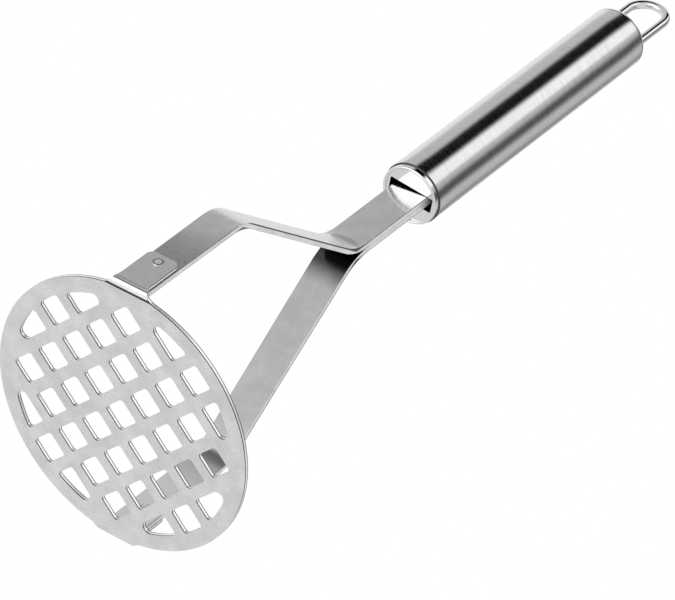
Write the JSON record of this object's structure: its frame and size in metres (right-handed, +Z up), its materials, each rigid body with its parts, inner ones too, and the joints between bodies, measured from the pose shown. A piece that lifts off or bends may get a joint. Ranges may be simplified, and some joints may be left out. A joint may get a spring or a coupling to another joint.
{
  "type": "potato masher",
  "caption": "Stainless steel potato masher: perforated round plate riveted to two bent strip arms that join in a hollow round handle with a wire hanging loop.",
  "frame": {"origin": "centre of the plate's flat pressing face", "axes": "+Z up the handle away from the plate, +X from the middle of the plate towards the front arm"},
  "size_m": [0.0914, 0.0866, 0.2714],
  "materials": {
    "plate_steel": "fine satin",
    "arm_steel": "satin",
    "rivet_steel": "satin",
    "tube_steel": "brushed round the handle",
    "cap_polished": "polished",
    "loop_polished": "polished",
    "weld_steel": "as welded"
  },
  "bodies": {
    "root": {"press_plate": "plate_steel", "front_arm": "arm_steel", "rear_arm": "arm_steel", "front_rivet": "rivet_steel", "rear_rivet": "rivet_steel", "handle_tube": "tube_steel", "front_cap": "cap_polished", "rear_cap": "cap_polished", "hang_loop": "loop_polished", "tang_disc": "weld_steel", "front_tang_weld": "weld_steel", "rear_tang_weld": "weld_steel", "left_loop_weld": "weld_steel", "right_loop_weld": "weld_steel"}
  },
  "joints": []
}
